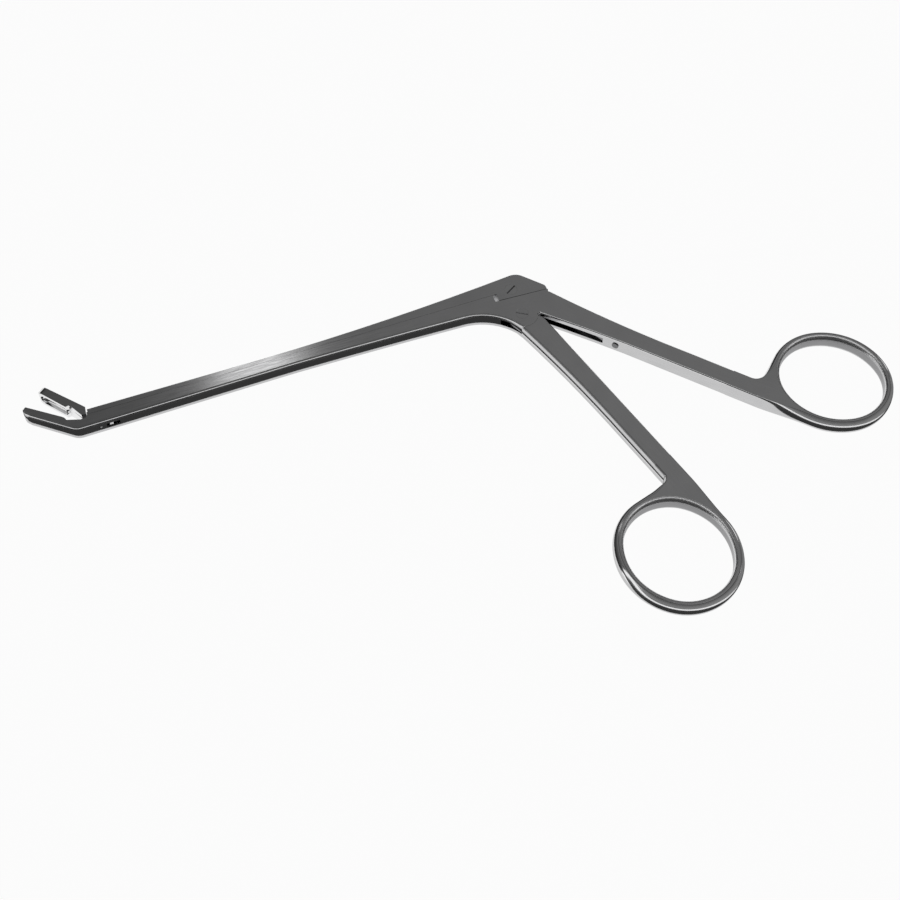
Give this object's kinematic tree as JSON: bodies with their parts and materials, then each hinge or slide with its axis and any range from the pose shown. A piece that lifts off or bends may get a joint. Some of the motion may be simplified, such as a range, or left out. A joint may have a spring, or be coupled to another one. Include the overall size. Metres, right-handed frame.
{
  "type": "bone rongeur",
  "caption": "Ring-handled bone rongeur with a long sliding shaft, angled cup jaws and flat finger-ring handles, lying on its side.",
  "frame": {"origin": "on the axis of the handle screw, at the flat side of the instrument that rests below", "axes": "+X along the shaft from the jaws towards the handles, +Y towards the side that the jaws bend to, +Z through the thickness, upwards"},
  "size_m": [0.2112, 0.115, 0.0049],
  "materials": {
    "shaft_steel": "satin",
    "slide_steel": "satin",
    "jaw_steel": "satin",
    "handle_steel": "satin",
    "screw_steel": "ground flush",
    "pin_steel": "ground flush"
  },
  "bodies": {
    "shaft": {"fixed_shaft": "shaft_steel", "handle_screw": "screw_steel", "jaw_pin": "pin_steel", "edge_stud": "pin_steel"},
    "slide": {"slide": "slide_steel", "drive_screw": "screw_steel", "jaw_drive_pin": "pin_steel", "guide_key": "pin_steel"},
    "upper_jaw": {"upper_jaw": "jaw_steel"},
    "front_handle": {"front_handle": "handle_steel"}
  },
  "joints": [
    {"name": "handle_pivot", "type": "hinge", "parent": "shaft", "child": "front_handle", "pos_m": [0, 0, 0.00245], "axis": [0, 0, 1], "range_deg": [-5.2, 5.25]},
    {"name": "slide_travel", "type": "slide", "parent": "shaft", "child": "slide", "axis": [-1, 0, 0], "range_m": [-0.00075, 0.00076]},
    {"name": "jaw_pivot", "type": "hinge", "parent": "shaft", "child": "upper_jaw", "pos_m": [-0.1117, 0.0063, 0.00245], "axis": [0, 0, 1], "range_deg": [-16.2, 16.35]}
  ],
  "couplings": [
    {"joint": "slide_travel", "follows": "handle_pivot", "m_per_rad": 0.00825},
    {"joint": "jaw_pivot", "follows": "handle_pivot", "ratio": 3.1132}
  ]
}
